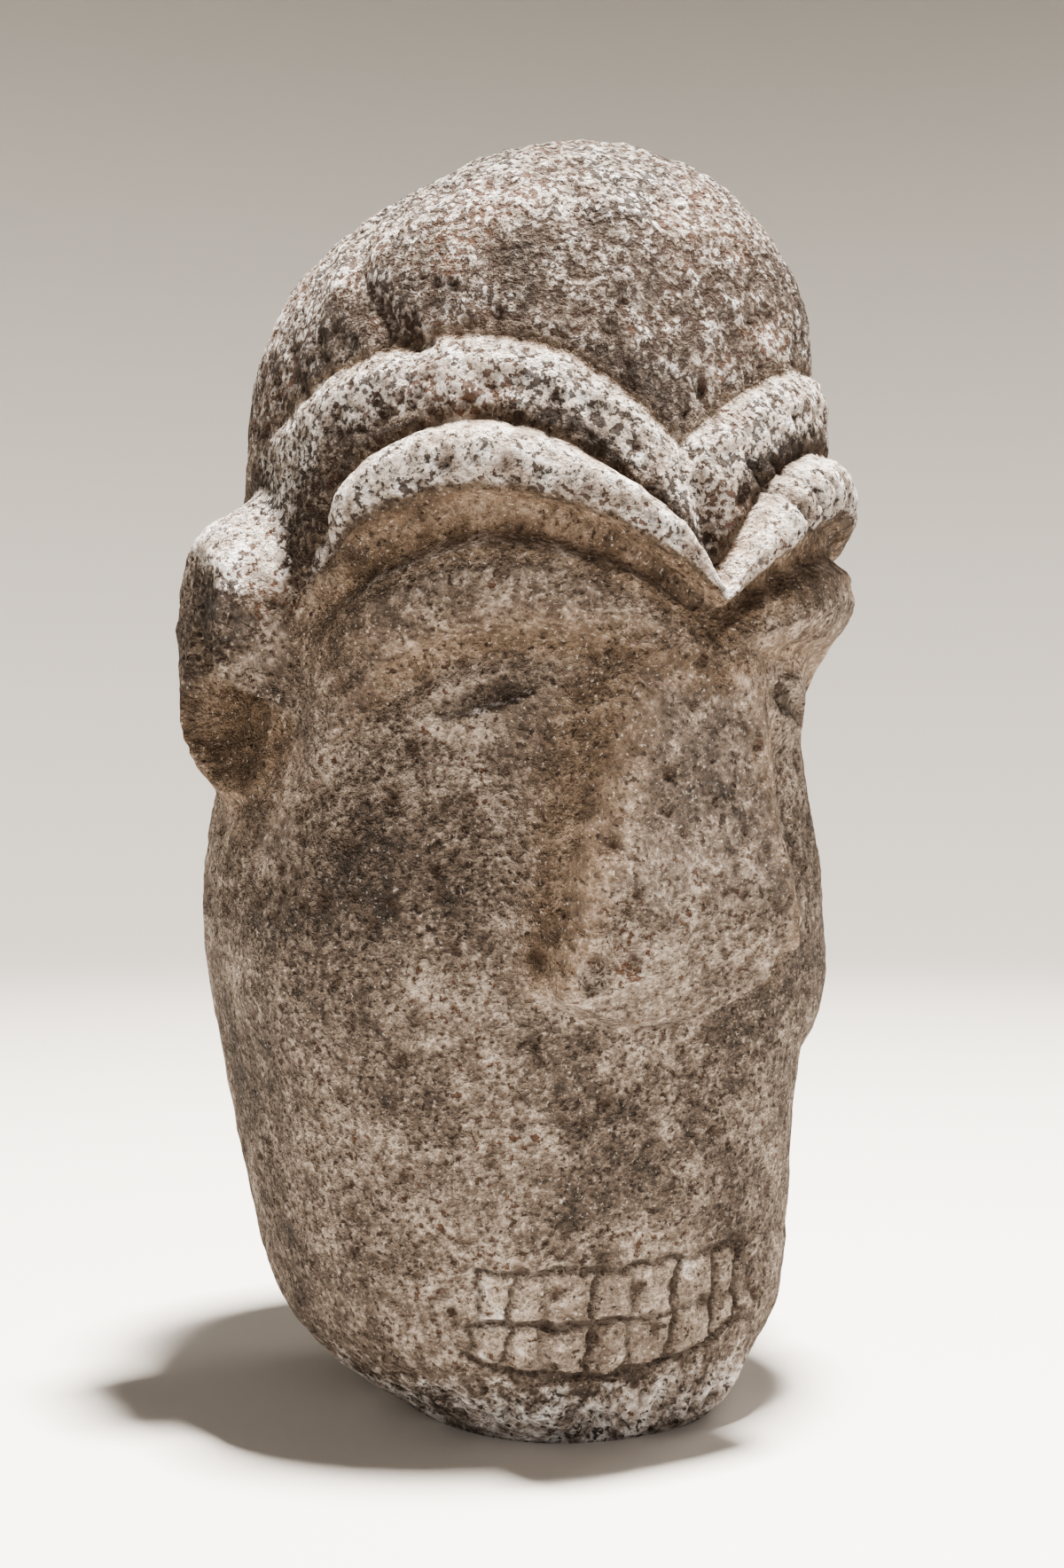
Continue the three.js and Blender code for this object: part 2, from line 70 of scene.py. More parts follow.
# Arched lines over the eyes: middle, crown, angle of the crown, lower point and its angle,
# shape of the rise and of the fall, height at which the mesh row passes the ear.
DOME_EDGE = (331, 365, 42, 350, 85, 2.3, 1.6, 348)
ROLL_TOP = (287, 335, 39, 298, 75, 2.3, 1.8, 322)
ROLL_FOOT = (279, 312, 38, 285, 78, 1.85, 1.7, 292)
BROW_TOP = (271, 294, 38, 266, 75, 1.72, 1.47, 277)
LID_FOLD = (258, 269.5, 30, 250, 60, 1.65, 3, 246)
ARCHES = (DOME_EDGE, ROLL_TOP, ROLL_FOOT, BROW_TOP, LID_FOLD)
RIGHT_SPREAD = 0.9
BULGES = [
    (-120, 48, 432, 24, -4),
    (66, 24, 294, 22, 8),
]  # middle and spread in degrees, middle and spread in height, how far it stands out
BAND_STANDS = 7
ROLL_STANDS = 17
BROW_STANDS = 13
GROOVE_DEPTH = 2.8

# Nose: its foot, then half width, width of the sloping side and stand-off, by height.
NOSE_MIDDLE = 1
NOSE_FOOT = 144
NOSE_HALF = [(138, 41), (165, 42), (190, 38), (225, 32), (255, 27), (290, 20)]
NOSE_SIDE = [(138, 9), (165, 8.5), (190, 15), (225, 25), (255, 26), (290, 16)]
NOSE_STANDS = [
    (120, 0),
    (141, 5),
    (150, 11),
    (162, 16),
    (178, 19.5),
    (195, 20),
    (215, 18.5),
    (280, 14),
]
NOSTRIL_ASIDE, NOSTRIL_HEIGHT = 33.5, 165
NOSTRIL_HALF = (4.6, 7.0)
NOSTRIL_DEPTH = 5.5

# Eyes: angle from the middle, millimetres to a degree there, height; then half length and half
# height of the swelling and of the slit. The slit droops by a share of its length.
EYE_ANGLE, EYE_PER_DEGREE, EYE_HEIGHT = 35.5, 1.72, 249.5
EYE_STANDS = 4.0
LID_HALF = (28, 17)
SLIT_HALF = (16, 4.75)
SLIT_DEPTH = 4.4
SLIT_DROOP = 0.27

# Ears: middle of the body by reach back and height, its spans from there, the egg that hollows
# it, and the peak that the hollow lies under.
EAR_BACK, EAR_HEIGHT, EAR_STANDS = 24, 268, 22
EAR_FORWARD, EAR_REARWARD, EAR_UP, EAR_DOWN = 44, 33, 58, 56
EGG_ASIDE, EGG_BACK, EGG_HEIGHT = 119, 12, 262
EGG_HALF = (32, 49)
EGG_DEPTH = 26
PEAK_BACK, PEAK_HEIGHT, PEAK_SLANT = 18, 278, 0.95

# Cheeks: height and spread of the shelf, and how far it stands out on each side.
CHEEK_HEIGHT, CHEEK_SPREAD = 152, 24
CHEEK_LEFT, CHEEK_RIGHT = 1.5, 5


def ease(start, end, value):
    """0 below start, 1 above end, eased between them."""
    t = np.clip((value - start) / (end - start), 0.0, 1.0)
    return t * t * (3 - 2 * t)


def bell(distance, spread):
    return np.exp(-((distance / spread) ** 2))


def mix(a, b, share):
    return a + (b - a) * share


def blend_max(a, b, rounding):
    """The greater of two heights, with the corner between them rounded off."""
    t = np.clip(0.5 + 0.5 * (a - b) / rounding, 0.0, 1.0)
    return b + (a - b) * t + rounding * t * (1 - t)


def along(table, value, column=1):
    """A smooth curve through the rows of a table, level at both ends."""
    at = np.array([row[0] for row in table], float)
    to = np.array([row[column] for row in table], float)
    slope = np.zeros(len(at))
    slope[1:-1] = (to[2:] - to[:-2]) / (at[2:] - at[:-2])
    v = np.clip(value, at[0], at[-1])
    i = np.clip(np.searchsorted(at, v) - 1, 0, len(at) - 2)
    span = at[i + 1] - at[i]
    t = (v - at[i]) / span
    rise = t * (1 - t) ** 2 * span * slope[i] - t * t * (1 - t) * span * slope[i + 1]
    return to[i] + (to[i + 1] - to[i]) * t * t * (3 - 2 * t) + rise


def boulder(angle, z):
    """The uncarved stone, by angle round the axis (0 in front) and height."""
    level = np.minimum(z, GIRTH[-1][0])
    reach = np.where(np.cos(angle) > 0, along(GIRTH, level, 2), along(GIRTH, level, 3))
    middle = along(GIRTH, level, 4)
    up = np.clip((z - DOME_FROM) / (HEIGHT - DOME_FROM), 0, 1)
    close = np.sqrt(np.maximum(1 - up**DOME_POWER, 0))
    across = np.abs(np.sin(angle) / along(GIRTH, level, 1)) ** SQUARENESS
    inward = np.abs(np.cos(angle) / reach) ** SQUARENESS
    tuck = FOOT_TUCK * np.clip(1 - z / FOOT_ROUND, 0, 1) ** 2.1
    radius = (across + inward) ** (-1 / SQUARENESS) * (1 - tuck)
    x = middle + radius * np.sin(angle) * close + (CROWN[0] - middle) * (1 - close)
    y = -radius * np.cos(angle) * close + CROWN[1] * (1 - close)
    return np.stack([x, y, z + 0 * angle], -1)


def outward(angle, z):
    level = np.minimum(z, HEIGHT - 1.5)
    around = boulder(angle + 0.01, level) - boulder(angle - 0.01, level)
    rise = boulder(angle, level + 0.5) - boulder(angle, level - 0.5)
    normal = np.cross(around, rise)
    return normal / np.linalg.norm(normal, axis=-1, keepdims=True)


def arch(line, off):
    """Height of an arched line at an angle from the middle of the face."""
    middle, crown, at, end, out, rise, fall, _ = line
    inner = crown - (crown - middle) * np.clip(1 - off / at, 0, 1) ** rise
    outer = crown - (crown - end) * np.clip((off - at) / (out - at), 0, 1.4) ** fall
    return np.where(off < at, inner, outer)


def face_middle(z):
    return -1.5 + 5.5 * ease(335, 290, z) - 2.5 * ease(280, 240, z)


def from_middle(degrees, z):
    """Angle from the middle of the face; the carving is spread a little wider on the right."""
    off = degrees - face_middle(z)
    return np.where(off > 0, off * RIGHT_SPREAD, -off)


def down_profile(z, knots):
    """Stand-off read down a list of (height, stand-off), eased from each to the next."""
    value = knots[0][1] + 0 * z
    for (top, start), (foot, end) in zip(knots[:-1], knots[1:]):
        here = start + (end - start) * ease(top, np.minimum(foot, top - 0.5), z)
        value = np.where(z < top, here, value)
    return value


def forehead(off, z):
    """Dome edge groove, flat band, fat roll, hollow, brow and lid, one under the other."""
    in_front = 1 - ease(70, 112, off)
    band = BAND_STANDS * in_front
    under = 1 - ease(62, 80, off)
    brow = 1 - ease(56, 82, off)
    dome_edge, roll_top, roll_foot, brow_top, lid_fold = (arch(line, off) for line in ARCHES)
    hollow = np.minimum((roll_foot + brow_top) / 2, roll_foot - 6)
    base = down_profile(z, [
        (dome_edge + 3, 0),
        (dome_edge, -GROOVE_DEPTH * in_front),
        (dome_edge - 3.5, 0.55 * band),
        (dome_edge - 11, band),
        (roll_top + 5, band),
        (roll_top, 0.8 * band),
        (roll_foot + 2, mix(band, 5.5, under)),
        (hollow, mix(0.7 * band, 3.5, under)),
        (np.minimum(brow_top + 1, roll_foot - 10), mix(0.5 * band, BROW_STANDS - 2, brow)),
        (brow_top - 8, mix(0.3 * band, BROW_STANDS, brow)),
        (lid_fold + 5, mix(0.2 * band, BROW_STANDS - 4, brow)),
        (lid_fold - 1, 2 * brow),
        (lid_fold - 9, 0.5 * brow),
        (lid_fold - 26, 0),
    ])
    half = (roll_top - roll_foot) / 2 + 1
    loaf = np.maximum(1 - np.abs((z - roll_foot + 1) / half - 1) ** 2.6, 0) ** 0.5
    return blend_max(base, ROLL_STANDS * loaf * (1 - ease(60, 78, off)), 1.2) - 0.3


def nose_foot(x):
    """Height at which the nose ends: lowest in the middle, higher at its two sides."""
    return NOSE_FOOT + 22 * np.clip(np.abs(x + 7) / 45, 0, 1.2) ** 2.4


def nose(x, z, front):
    aside = np.abs(x - NOSE_MIDDLE)
    half = along(NOSE_HALF, z)
    side = along(NOSE_SIDE, z)
    across = 1 - ease(half - 0.4 * side, half + 0.6 * side, aside)
    above = ease(-3, 4, z - nose_foot(x))
    return along(NOSE_STANDS, z) * across * above * (1 - ease(262, 290, z)) * front


def from_eye(degrees, z):
    """Distance outwards and upwards from the middle of the nearer eye."""
    return (np.abs(degrees) - EYE_ANGLE) * EYE_PER_DEGREE, z - EYE_HEIGHT


def eyes(degrees, z):
    """A low swelling with a narrow slit that droops at its outer end."""
    aside, up = from_eye(degrees, z)
    swell = np.maximum(1 - (aside / LID_HALF[0]) ** 2 - (up / LID_HALF[1]) ** 2, 0)
    bow = up + aside * SLIT_DROOP - 1.0 * (1 - (aside / SLIT_HALF[0]) ** 2)
    inside = np.maximum(1 - (aside / SLIT_HALF[0]) ** 2 - (bow / SLIT_HALF[1]) ** 2, 0)
    return EYE_STANDS * swell**1.3 - SLIT_DEPTH * np.sqrt(inside)


def nostrils(x, z, front):
    aside = (np.abs(x - NOSE_MIDDLE) - NOSTRIL_ASIDE) / NOSTRIL_HALF[0]
    inside = np.maximum(1 - aside**2 - ((z - NOSTRIL_HEIGHT) / NOSTRIL_HALF[1]) ** 2, 0)
    return -NOSTRIL_DEPTH * np.sqrt(inside) * front


def ear(degrees, y, z):
    """The rounded body of an ear, before its hollow is cut."""
    side = ease(56, 68, np.abs(degrees)) * (1 - ease(140, 155, np.abs(degrees)))
    back = y - EAR_BACK
    up = z - EAR_HEIGHT
    across = np.abs(back / np.where(back > 0, EAR_REARWARD, EAR_FORWARD)) ** 2.3
    upright = np.abs(up / np.where(up > 0, EAR_UP, EAR_DOWN)) ** 2.3
    fuller_above = 0.86 + 0.14 * ease(-50, 20, up)
    return EAR_STANDS * ease(0, 0.7, 1 - (across + upright)) * fuller_above * side


def cheek(degrees, z):
    """A shelf above the jaw, stronger on the right."""
    aside = ease(34, 58, np.abs(degrees)) * (1 - ease(80, 110, np.abs(degrees)))
    stands = np.where(degrees > 0, CHEEK_RIGHT, CHEEK_LEFT)
    return stands * aside * bell(z - CHEEK_HEIGHT, CHEEK_SPREAD) * ease(127, 135, z)


MOUTH_LEFT = -54
MOUTH_RIGHT = 45
TOOTH_GROOVES = (-53, -43, -32.5, -16, -2, 15, 32.5, 43.5)
TOOTH_DEPTHS = (1.2, 1.7, 0.9, 1.9, 1.0, 1.9, 1.9, 2.3)


def mouth_lines(x):
    """Heights of the three long lines of the mouth."""
    t = (x - (MOUTH_LEFT + MOUTH_RIGHT) / 2) / ((MOUTH_RIGHT - MOUTH_LEFT) / 2)
    return 63.7 + t + 2 * t * t, 45.3 + 1.6 * t + 3.3 * t * t, 26.5 + 1.8 * t + 10.5 * t * t


def groove(distance, half_width, depth):
    return -depth * np.sqrt(np.maximum(1 - (distance / half_width) ** 2, 0))


def mouth(x, z, front):
    """Two rows of teeth: each tooth a low pillow between cut lines."""
    top, split, foot = mouth_lines(x)
    wobble = 0.7 * np.sin(z * 0.33) + 0.5 * np.sin(z * 0.71 + 1)
    ends = ease(MOUTH_LEFT - 3, MOUTH_LEFT, x) * (1 - ease(MOUTH_RIGHT, MOUTH_RIGHT + 3, x)) * front
    sag = 0.6 * np.sin(x * 0.19) + 0.4 * np.sin(x * 0.47 + 2)
    out = groove(z - top - sag, 1.3, 1.6) * ends
    deeper_left = 0.45 + 0.55 * ease(10, -15, x)
    out = np.minimum(out, groove(z - split + sag, 1.4, 2.1) * ends * deeper_left)
    out = np.minimum(out, groove(z - foot - sag, 1.5, 2.2) * ends)
    rows = ease(foot - 2, foot, z) * (1 - ease(top, top + 2, z)) * front
    for cut, (at, depth) in enumerate(zip(TOOTH_GROOVES, TOOTH_DEPTHS)):
        out = np.minimum(out, groove(x - at - wobble * (1 if cut % 2 else -1), 1.3, depth) * rows)
    near = np.min([np.abs(x - at) for at in TOOTH_GROOVES], axis=0)
    inside = rows * (x > MOUTH_LEFT) * (x < MOUTH_RIGHT)
    return out + 0.8 * inside * ease(1.5, 6, near) * ease(1.5, 6, np.abs(z - split))


def carving(angle, z, at):
    degrees = np.degrees(angle)
    middle = face_middle(z)
    off = from_middle(degrees, z)
    front = np.where(np.abs(degrees) < 90, 1.0, 0.0)
    out = forehead(off, z)
    out = out - 3 * bell(degrees - middle, 2.4) * ease(284, 292, z) * (1 - ease(330, 337, z))
    out = blend_max(out, nose(at[..., 0], z, front), 3) - 0.75
    out = out + eyes(degrees, z) + nostrils(at[..., 0], z, front)
    out = out - 3.5 * bell(off - 28, 10) * bell(z - 222, 28)
    out = out + cheek(degrees, z) + mouth(at[..., 0], z, front)
    out = out + ear(degrees, at[..., 1], z)
    for centre, spread, height, tall, stands in BULGES:
        out = out + stands * bell(degrees - centre, spread) * bell(z - height, tall)
    return out * ease(0, 12, z) * (1 - ease(433, 441, z))


def under_peak(y, z):
    """How far a place on the side of the head lies under the two edges of the ear's peak."""
    return PEAK_HEIGHT - z - np.abs(y - PEAK_BACK) * PEAK_SLANT


def cut_ear_hollow(points):
    """Pushes the skin in to the wall of an egg-shaped hollow, under the ear's peak."""
    y, z = points[..., 1], points[..., 2]
    inside = 1 - ((y - EGG_BACK) / EGG_HALF[0]) ** 2 - ((z - EGG_HEIGHT) / EGG_HALF[1]) ** 2
    wall = EGG_ASIDE - EGG_DEPTH * np.sqrt(np.maximum(inside, 0))
    below = ease(-1.0, 1.0, under_peak(y, z)) * (inside > 0)
    aside = np.abs(points[..., 0])
    cut = np.minimum(aside, wall)
    points[..., 0] = np.sign(points[..., 0]) * mix(aside, cut, below)
    return points


# Mesh of the head
# Rows follow the arched lines and the foot of the nose, so every carved edge has its own row;
# the columns are close together on the face and wider apart behind.

FRONT_STEP, SIDE_STEP, BACK_STEP = 0.62, 1.3, 2.6
ROWS = (26, 13, 24, 20, 13, 19, 49, 22, 9, 30, 42, 13)


def column_angles():
    side = np.concatenate([
        np.arange(0, 62, FRONT_STEP),
        np.arange(62, 124, SIDE_STEP),
        np.arange(124, 180 - BACK_STEP / 2, BACK_STEP),
    ])
    return np.radians(np.concatenate([[-180], -side[:0:-1], side]))


def row_heights(angle):
    """Heights of every row in every column, from the crown to the underside."""
    degrees = np.degrees(angle)
    aside = ease(64, 84, np.abs(degrees))
    stops = [HEIGHT + 0 * angle, 390 + 0 * angle]
    for line in ARCHES:
        z = line[0] + 0 * angle
        for _ in range(6):
            z = arch(line, from_middle(degrees, z))
        stops.append(mix(z, line[7], aside))
    foot = nose_foot(95 * np.sin(np.clip(angle, -math.radians(50), math.radians(50))))
    stops += [188 + 0 * angle, foot + 5, foot - 4, 68 + 0 * angle, 23 + 0 * angle, 0 * angle]
    rows = []
    for part, count in enumerate(ROWS):
        for k in range(count):
            share = (k / count) ** 2 if part == 0 else k / count
            rows.append(mix(stops[part], stops[part + 1], share))
    rows.append(stops[-1])
    return np.array(rows)[1:]


def head_mesh():
    angles = column_angles()
    z = row_heights(angles)
    angle = np.broadcast_to(angles, z.shape)
    at = boulder(angle, z)
    skin = at + carving(angle, z, at)[..., None] * outward(angle, z)
    skin = cut_ear_hollow(skin)
    rows, columns = z.shape
    sole_middle = np.array([GIRTH[0][4], 0, 0])
    ring = sole_middle + (skin[-1] - sole_middle) * 0.6
    top = [CROWN[0], CROWN[1], HEIGHT]
    points = np.concatenate([skin.reshape(-1, 3), ring, [top, sole_middle]])
    faces = []
    for row in range(rows):
        base = row * columns
        for k in range(columns):
            n = (k + 1) % columns
            faces.append((base + k, base + columns + k, base + columns + n, base + n))
    crown, sole = len(points) - 2, len(points) - 1
    for k in range(columns):
        n = (k + 1) % columns
        faces.append((crown, k, n))
        faces.append((rows * columns + k, sole, rows * columns + n))
    return points, faces, np.degrees(angle).ravel()


points, faces, degrees = head_mesh()
mesh = bpy.data.meshes.new("stone_head_skin")
mesh.from_pydata((points / 1000).tolist(), [], faces)
mesh.validate()
mesh.update()
head = bpy.data.objects.new("stone_head_skin", mesh)
bpy.context.collection.objects.link(head)

# Worn and pitted surface
# The stone was pecked to shape and has weathered: it is uneven, full of open pits on the dome,
# the band and the roll, smoother on the face, and broken away round its lower edge.

count = len(points)
degrees = np.concatenate([degrees, np.zeros(count - len(degrees))])
normals = np.zeros(count * 3)
mesh.vertex_normals.foreach_get("vector", normals)
normals = normals.reshape(-1, 3)
z = points[:, 2]
off = from_middle(degrees, z)
top_zone = ease(-6, 6, z - arch(ROLL_FOOT, off) + 4 * ease(70, 90, off))
dome_zone = ease(-4, 4, z - arch(DOME_EDGE, off))
mouth_zone = bell(z - 45, 26) * bell(points[:, 0] + 6, 62) * (points[:, 1] < 0)

lumps, grain, breaks = np.zeros(count), np.zeros(count), np.zeros(count)
for k, p in enumerate(points):
    v = Vector(p)
    lumps[k] = noise.fractal(v / 38, 1.0, 2.1, 3)
    grain[k] = noise.fractal(v / 7 + Vector((9, 4, 2)), 0.8, 2.2, 3)
    if p[2] < 60:
        breaks[k] = noise.fractal(v / 15 + Vector((3, 7, 5)), 0.9, 2.3, 3)
upper_zone = np.maximum(dome_zone, 0.6 * top_zone)
rough = 1.1 * lumps + mix(0.50, 0.80, upper_zone) * grain * (1 - 0.75 * mouth_zone)

tree = kdtree.KDTree(count)
for k, p in enumerate(points):
    tree.insert(p, k)
tree.balance()
rng = np.random.default_rng(17)
pits = np.zeros(count)


def peck(number, small, large, depth, zone):
    """Open pits of seeded sizes at seeded places, where the zone's share lets them be."""
    made = 0
    while made < number:
        k = int(rng.integers(count))
        if rng.random() > zone[k]:
            continue
        made += 1
        radius = mix(small, large, rng.random() ** 2.5)
        deep = depth * radius * mix(0.6, 1.2, rng.random())
        for _, index, distance in tree.find_range(points[k], radius * 1.5):
            pits[index] = max(pits[index], deep * math.exp(-((distance / radius) ** 2) * 1.6))


even = np.where(np.abs(degrees) < 62, 0.45, 1.0)  # points are closer together on the face
peck(2600, 1.3, 3.6, 0.52, even * (0.10 + 0.9 * dome_zone))
peck(1500, 1.2, 3.0, 0.50, even * top_zone)
peck(1900, 1.2, 2.8, 0.36, even * (1 - 0.7 * mouth_zone))
peck(34, 3.5, 6.5, 0.42, even * dome_zone)
rough = rough - pits


SKIN_RADIUS = 95  # turns an angle round the axis into millimetres along the skin


def scar(path, radius, deep):
    """Depth of a worn line along a path of (angle, height) points."""
    around = np.radians(degrees) * SKIN_RADIUS
    nearest = np.full(count, 1e9)
    for (a, low), (b, high) in zip(path[:-1], path[1:]):
        start = np.array([math.radians(a) * SKIN_RADIUS, low])
        step = np.array([math.radians(b) * SKIN_RADIUS, high]) - start
        offset = np.stack([around - start[0], z - start[1]], -1)
        share = np.clip(offset @ step / (step @ step), 0, 1)
        nearest = np.minimum(nearest, np.linalg.norm(offset - share[:, None] * step, axis=1))
    return deep * np.exp(-((nearest / radius) ** 2))


# A worn channel and a hollow on the dome, slashes across the right roll, a nick over the teeth, a
# worn line from nose to mouth, a deep pocket by the right eye, a fine line in front of the ear.
rough = rough - scar([(-84, 416), (-70, 388), (-50, 359)], 5.0, 3.2)
rough = rough - scar([(-25, 407), (-21, 405)], 4.5, 3.2)
slashes = np.zeros(count)
for start in (12, 19, 26, 33):
    slashes = np.maximum(slashes, scar([(start, 327), (start + 8, 310)], 1.4, 2.2))
rough = rough - slashes
rough = rough - scar([(-8, 82), (-13, 75)], 1.0, 1.2)
rough = rough - scar([(21, 130), (12, 114), (4, 102), (12, 87)], 3.0, 1.0)
rough = rough - scar([(30, 263), (31, 250)], 3.5, 4.0)
rough = rough - scar([(-77, 233), (-73, 205), (-72, 170)], 0.9, 0.8)

stands_on = ease(0, 3, z)
ragged = np.maximum(breaks + 0.35 * grain, 0)
chips = ease(34, 6, z) * ragged * 7
points = points + ((rough - chips) * stands_on)[:, None] * normals
points[:, 2] = np.maximum(points[:, 2], 0)
mesh.vertices.foreach_set("co", (points / 1000).ravel())
mesh.update()


def keep_attribute(name, values):
    layer = mesh.attributes.new(name, "FLOAT", "POINT")
    layer.data.foreach_set("value", np.asarray(values, dtype=np.float32))


# Painted shade, warm brown, where shade falls: under the roll, the lid, the dome's edge and the
# roll's top, beside the nose, in the ear and on the temple.
x, y = points[:, 0], points[:, 1]
brow_shade = bell(z - (arch(ROLL_FOOT, off) - 9), 11) * (1 - ease(66, 86, off))
lid_shade = 0.8 * bell(z - (arch(LID_FOLD, off) - 2), 8) * (1 - ease(50, 72, off))
edge_shade = 0.8 * bell(z - arch(DOME_EDGE, off), 3.5) * (1 - ease(80, 110, off))
roll_shade = 0.9 * bell(z - arch(ROLL_TOP, off) - 1, 3.5) * (1 - ease(66, 80, off))
wall = np.abs(x - NOSE_MIDDLE) - along(NOSE_HALF, z) - 3
wall = bell(wall / (0.35 * along(NOSE_SIDE, z) + 4), 1)
wall = wall * ease(146, 165, z) * (1 - ease(250, 275, z)) * (y < -50)
hollow = bell(y - EGG_BACK, 34) * bell(z - 244, 34) * 1.5 * ease(-3, 3, under_peak(y, z))
hollow = np.clip(hollow, 0, 1) * (np.abs(x) > 80)
# Painted highlight on the top of each ear.
ear_top_highlight = ease(-6, 6, z - 291 - 0.3 * (y + 10)) * bell(y - 2, 30) * (np.abs(x) > 100)
temple = 0.7 * bell(np.abs(degrees) - 66, 14) * bell(z - 275, 26)

# How far up the roll and the band a place is, 0 at the foot and 1 at the top, and where they are.
dome_edge, roll_top, roll_foot = (arch(line, off) for line in (DOME_EDGE, ROLL_TOP, ROLL_FOOT))
up_roll = (z - roll_foot) / (roll_top - roll_foot)
up_band = (z - roll_top) / (dome_edge - roll_top)
near = 1 - ease(64, 84, off)
on_roll = ease(-0.25, 0.0, up_roll) * ease(1.15, 1.0, up_roll) * near
behind = ease(90, 120, np.abs(degrees))
cap = mix(dome_zone, ease(315, 410, z), behind)
on_band = ease(0.0, 0.1, up_band) * ease(1.1, 0.95, up_band) * (1 - behind)
roll_under = on_roll * (1 - ease(0.02, 0.24, up_roll))
band_under = 0.7 * on_band * (1 - ease(0.0, 0.22, up_band))
# All of these together make the mask of painted shade.
painted_shade = np.maximum.reduce([brow_shade, lid_shade, edge_shade, roll_shade, 0.8 * wall])
painted_shade = np.maximum.reduce([painted_shade, hollow, temple, roll_under, band_under])

# Dust and painted highlight, paler: the dome, the roll, the broken foot of the chin, the band,
# and whatever faces up at the height of the ears and above.
facing_up = normals[:, 2]
dust_and_highlight = np.maximum.reduce([
    0.36 * cap,
    1.30 * on_roll * ease(0.0, 0.36, up_roll),
    0.58 * ease(40, 10, z) * (y < 40),
    0.95 * on_band * ease(0.05, 0.5, up_band) * mix(0.5, 1.0, ease(-62, -42, degrees)),
    ease(-0.1, 0.5, facing_up) * ease(262, 300, z) * (1 - near),
    ease(0.2, 0.7, facing_up) * ease(225, 262, z),
    1.4 * ear_top_highlight,
])
# Painted highlight on the tops of the roll, the band and the ears: paler, with fewer holes.
painted_top_highlight = on_roll * ease(0.1, 0.45, up_roll) + 0.5 * on_band * ease(0.3, 0.7, up_band) + ear_top_highlight
painted_top_highlight = np.clip(painted_top_highlight, 0, 1)

# The teeth and the eyes: paler and smoother, with painted shade in the cut lines. Half length and
# half height of the painted shade in the slit and of the pale lid round it, where the painted shade
# is lifted.
SLIT_SHADE = (17, 4.6)
LID_PALE = (26, 13)
teeth = ease(-2, 4, z - mouth_lines(x)[2]) * ease(-2, 4, mouth_lines(x)[0] - z)
teeth = teeth * ease(MOUTH_LEFT - 4, MOUTH_LEFT + 6, x)
teeth = teeth * (1 - ease(MOUTH_RIGHT - 6, MOUTH_RIGHT + 4, x)) * (y < 0)
aside, up = from_eye(degrees, z)
bow = up + aside * SLIT_DROOP
slit = np.clip(1.3 - (aside / SLIT_SHADE[0]) ** 2 - (bow / SLIT_SHADE[1]) ** 2, 0, 1)
lid = np.clip(1.3 - (aside / LID_PALE[0]) ** 2 - (bow / LID_PALE[1]) ** 2, 0, 1) * (1 - slit)
# Painted shade, lifted on the eye's lid.
keep_attribute("painted_shade", painted_shade * (1 - 0.6 * lid))
dust_and_highlight = dust_and_highlight * (1 - 0.8 * painted_shade) + 0.35 * painted_top_highlight
keep_attribute("dust_and_highlight", np.maximum(dust_and_highlight, 0.15 * teeth))
openness = mix(0.25, 1.0, mix(top_zone, cap, behind))
keep_attribute("open", np.clip(openness - 0.8 * painted_shade - 0.2 * teeth - 0.45 * painted_top_highlight, 0, 1))
# Depth of the pecked pits, darkened below as painted shade.
keep_attribute("pit", np.clip(pits / 1.2, 0, 1))
keep_attribute("smooth", np.maximum(teeth, lid))
# Depth of the mouth's cut lines, the eye slits and the slashes, darkened below as painted shade.
depth = -mouth(x, z, np.where(y < 0, 1.0, 0.0))
keep_attribute("cut", np.maximum.reduce([np.clip(depth / 1.4, 0, 1), 0.55 * slit, slashes / 3]))

for polygon in mesh.polygons:
    polygon.use_smooth = True
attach(head, "root")
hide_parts("stone_head")

# Stone
# A grey-brown stone full of open grain, chalky white with dust and painted highlight where it faces
# up, with painted warm-brown shade in the hollows.


def hex_colour(text):
    """A colour as Blender takes it, from an sRGB hex."""
    parts = [int(text[i : i + 2], 16) / 255 for i in (1, 3, 5)]
    linear = [c / 12.92 if c <= 0.04045 else ((c + 0.055) / 1.055) ** 2.4 for c in parts]
    return tuple(linear) + (1.0,)


stone = bpy.data.materials.new("pitted_stone")
stone.use_nodes = True
nodes, links = stone.node_tree.nodes, stone.node_tree.links
shader = nodes["Principled BSDF"]


def add(kind, settings=None, **inputs):
    """Adds a node, sets its properties, and sets or links its inputs by name or as i0, i1."""
    node = nodes.new("ShaderNode" + kind)
    for name, value in (settings or {}).items():
        setattr(node, name, value)
    for name, value in inputs.items():
        numbered = name[0] == "i" and name[1:].isdigit()
        socket = node.inputs[int(name[1:]) if numbered else name]
        if isinstance(value, bpy.types.NodeSocket):
            links.new(value, socket)
        else:
            socket.default_value = value
    return node


def ramp(value, *stops):
    """A colour ramp through (position, hex) stops."""
    node = add("ValToRGB", i0=value)
    bar = node.color_ramp
    while len(bar.elements) < len(stops):
        bar.elements.new(1.0)
    for element, (position, colour) in zip(bar.elements, stops):
        element.position = position
        element.color = hex_colour(colour)
    return node.outputs["Color"]


def blend(share, a, b):
    """Colour a going over to colour b as share rises."""
    node = add("Mix", {"data_type": "RGBA"}, i0=share)
    for socket, value in ((node.inputs[6], a), (node.inputs[7], b)):
        if isinstance(value, bpy.types.NodeSocket):
            links.new(value, socket)
        else:
            socket.default_value = value
    return node.outputs[2]


def calc(kind, a, b=0.0, clamped=False):
    node = add("Math", {"operation": kind, "use_clamp": clamped}, i0=a, i1=b)
    return node.outputs[0]


def attribute(name):
    return add("Attribute", {"attribute_name": name}).outputs["Fac"]


